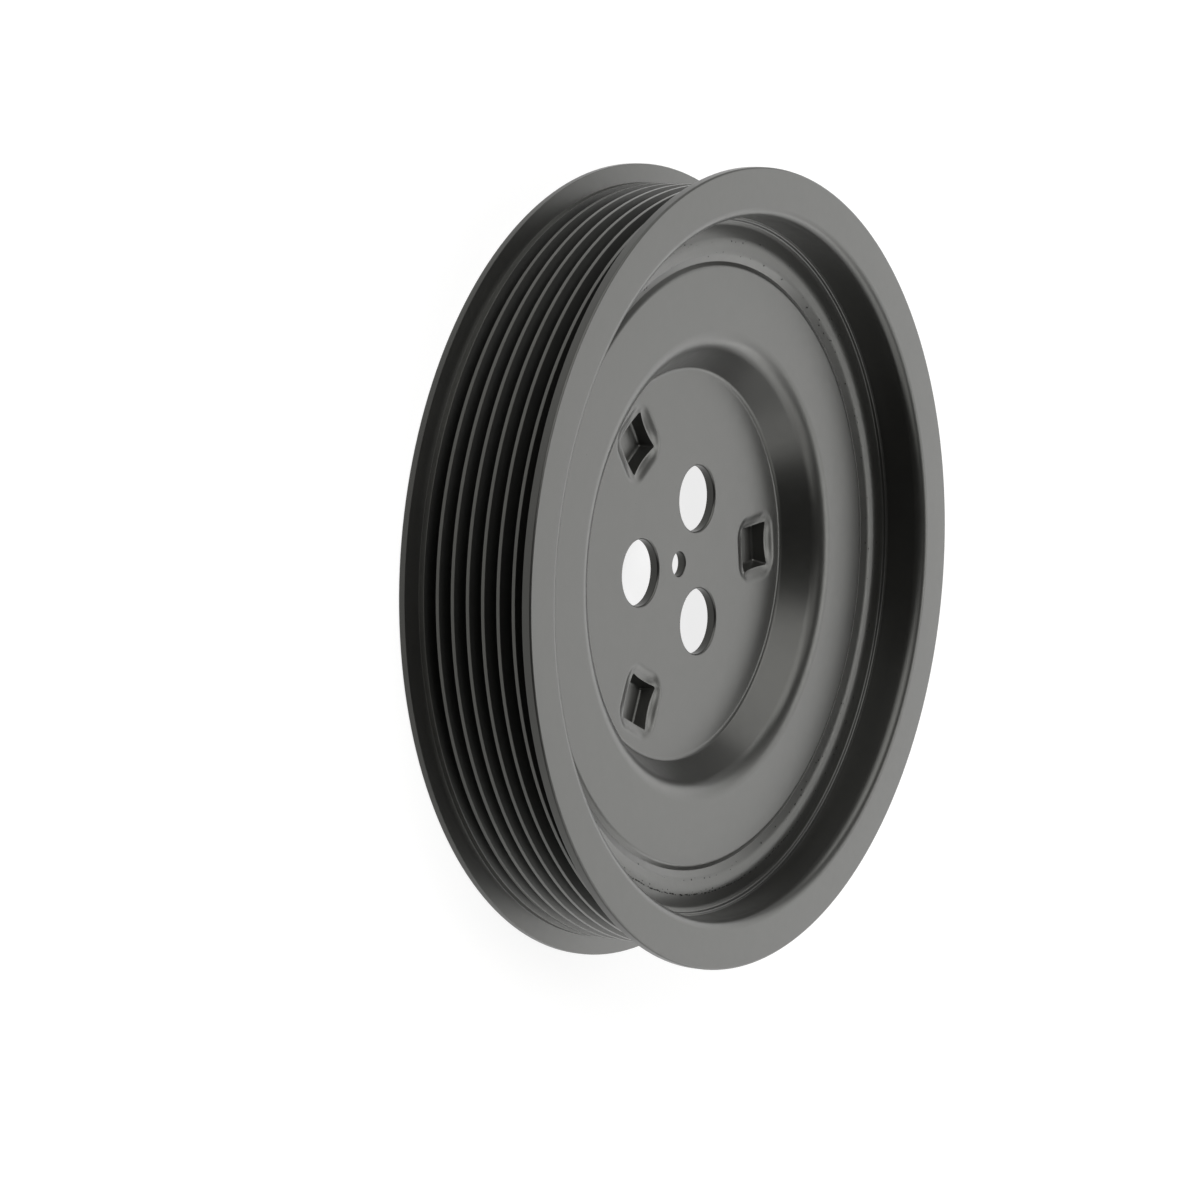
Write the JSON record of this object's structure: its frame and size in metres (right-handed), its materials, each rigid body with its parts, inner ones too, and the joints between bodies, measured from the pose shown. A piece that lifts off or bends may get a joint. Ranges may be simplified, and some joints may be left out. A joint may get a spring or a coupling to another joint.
{
  "type": "crankshaft pulley",
  "caption": "One-piece formed steel crankshaft pulley: ribbed belt rim with two flanges, dished web, recessed hub with bolt holes and pressed square pockets.",
  "frame": {"origin": "on the pulley's axis, in the plane of the rim's rear face, which the pulley rests on", "axes": "+Z along the pulley's axis towards the dished front with the bolt heads' face; +Y through the centre of one bolt hole"},
  "size_m": [0.165, 0.165, 0.0309],
  "materials": {
    "black_coat": "satin black dip coat"
  },
  "bodies": {
    "root": {"pulley": "black_coat"}
  },
  "joints": []
}
